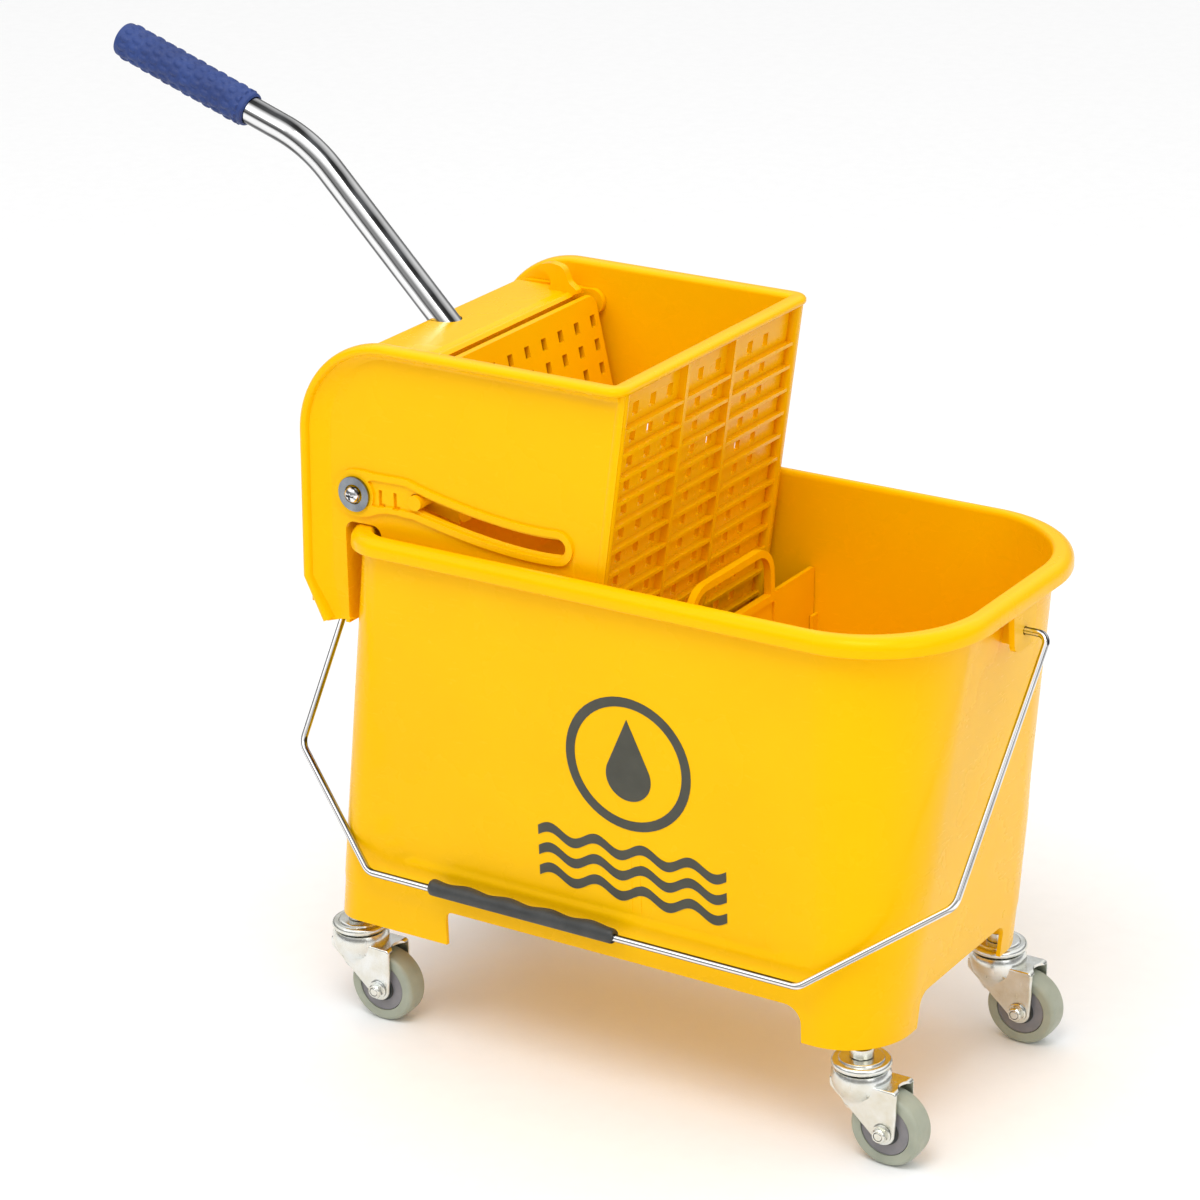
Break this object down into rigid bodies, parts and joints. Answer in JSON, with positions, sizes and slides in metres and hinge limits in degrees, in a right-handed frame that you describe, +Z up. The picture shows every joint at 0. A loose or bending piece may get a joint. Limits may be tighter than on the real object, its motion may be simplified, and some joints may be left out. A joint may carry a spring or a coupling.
{
  "type": "mop bucket with wringer",
  "caption": "Wheeled yellow tub with a lift-out divider, a wire bail handle and a hook-on wringer whose perforated plate is pressed by a long lever.",
  "frame": {"origin": "on the floor, under the middle of the overall box", "axes": "+X along the tub from the wringer to the open end, -Y the front, +Z up"},
  "size_m": [0.706, 0.262, 0.6394],
  "materials": {
    "yellow_plastic": "moulded, satin gloss",
    "inner_yellow_plastic": "moulded, satin gloss",
    "chrome": "bright plated",
    "zinc": "bright zinc plate",
    "blue_rubber": "matt, with small raised bumps",
    "dark_plastic": "matt",
    "tyre": "matt grey-green",
    "grey_plastic": "matt",
    "black_plastic": "matt"
  },
  "bodies": {
    "tub": {"tub": "yellow_plastic", "stem_front_left": "zinc", "raceway_front_left": "zinc", "stem_front_right": "zinc", "raceway_front_right": "zinc", "stem_back_left": "zinc", "raceway_back_left": "zinc", "stem_back_right": "zinc", "raceway_back_right": "zinc"},
    "divider": {"divider": "inner_yellow_plastic"},
    "bail": {"bail_wire": "chrome", "bail_grip": "dark_plastic"},
    "wringer": {"wringer_basket": "yellow_plastic"},
    "lever": {"lever_head": "yellow_plastic", "lever_tube": "chrome", "lever_grip": "blue_rubber", "tube_bolt": "zinc", "pivot_screw_front": "zinc", "pivot_screw_back": "zinc", "pivot_washer_front": "zinc", "pivot_washer_back": "zinc", "hinge_rod": "zinc"},
    "press_plate": {"press_plate": "inner_yellow_plastic"},
    "caster_front_left": {"fork_front_left": "zinc"},
    "wheel_front_left": {"tyre_front_left": "tyre", "wheel_core_front_left": "grey_plastic", "bush_front_left": "black_plastic", "axle_bolt_front_left": "zinc", "axle_nut_front_left": "zinc"},
    "caster_front_right": {"fork_front_right": "zinc"},
    "wheel_front_right": {"tyre_front_right": "tyre", "wheel_core_front_right": "grey_plastic", "bush_front_right": "black_plastic", "axle_bolt_front_right": "zinc", "axle_nut_front_right": "zinc"},
    "caster_back_left": {"fork_back_left": "zinc"},
    "wheel_back_left": {"tyre_back_left": "tyre", "wheel_core_back_left": "grey_plastic", "bush_back_left": "black_plastic", "axle_bolt_back_left": "zinc", "axle_nut_back_left": "zinc"},
    "caster_back_right": {"fork_back_right": "zinc"},
    "wheel_back_right": {"tyre_back_right": "tyre", "wheel_core_back_right": "grey_plastic", "bush_back_right": "black_plastic", "axle_bolt_back_right": "zinc", "axle_nut_back_right": "zinc"}
  },
  "joints": [
    {"name": "swivel_front_left", "type": "hinge", "parent": "tub", "child": "caster_front_left", "pos_m": [-0.1098, -0.09348, 0.055], "axis": [0, 0, 1], "continuous": true},
    {"name": "roll_front_left", "type": "hinge", "parent": "caster_front_left", "child": "wheel_front_left", "pos_m": [-0.08829, -0.09348, 0.025], "axis": [0, 1, 0], "continuous": true},
    {"name": "swivel_front_right", "type": "hinge", "parent": "tub", "child": "caster_front_right", "pos_m": [0.2762, -0.09348, 0.055], "axis": [0, 0, 1], "continuous": true},
    {"name": "roll_front_right", "type": "hinge", "parent": "caster_front_right", "child": "wheel_front_right", "pos_m": [0.2977, -0.09348, 0.025], "axis": [0, 1, 0], "continuous": true},
    {"name": "swivel_back_left", "type": "hinge", "parent": "tub", "child": "caster_back_left", "pos_m": [-0.1098, 0.09652, 0.055], "axis": [0, 0, 1], "continuous": true},
    {"name": "roll_back_left", "type": "hinge", "parent": "caster_back_left", "child": "wheel_back_left", "pos_m": [-0.08829, 0.09652, 0.025], "axis": [0, 1, 0], "continuous": true},
    {"name": "swivel_back_right", "type": "hinge", "parent": "tub", "child": "caster_back_right", "pos_m": [0.2762, 0.09652, 0.055], "axis": [0, 0, 1], "continuous": true},
    {"name": "roll_back_right", "type": "hinge", "parent": "caster_back_right", "child": "wheel_back_right", "pos_m": [0.2977, 0.09652, 0.025], "axis": [0, 1, 0], "continuous": true},
    {"name": "bail_swing", "type": "hinge", "parent": "tub", "child": "bail", "pos_m": [0.08321, 0.00152, 0.335], "axis": [-1, 0, 0], "range_deg": [0, 110]},
    {"name": "wringer_lift", "type": "slide", "parent": "tub", "child": "wringer", "axis": [0, 0, 1], "range_m": [0, 0.12]},
    {"name": "lever_swing", "type": "hinge", "parent": "wringer", "child": "lever", "pos_m": [-0.08779, 0.00152, 0.383], "axis": [0, 1, 0], "range_deg": [0, 43]},
    {"name": "plate_fold", "type": "hinge", "parent": "lever", "child": "press_plate", "pos_m": [-0.04279, 0.00152, 0.461], "axis": [0, 1, 0], "range_deg": [-104, 0]},
    {"name": "divider_lift", "type": "slide", "parent": "tub", "child": "divider", "axis": [0, 0, 1], "range_m": [0, 0.18]}
  ],
  "couplings": [
    {"joint": "plate_fold", "follows": "lever_swing", "ratio": -2.414}
  ]
}
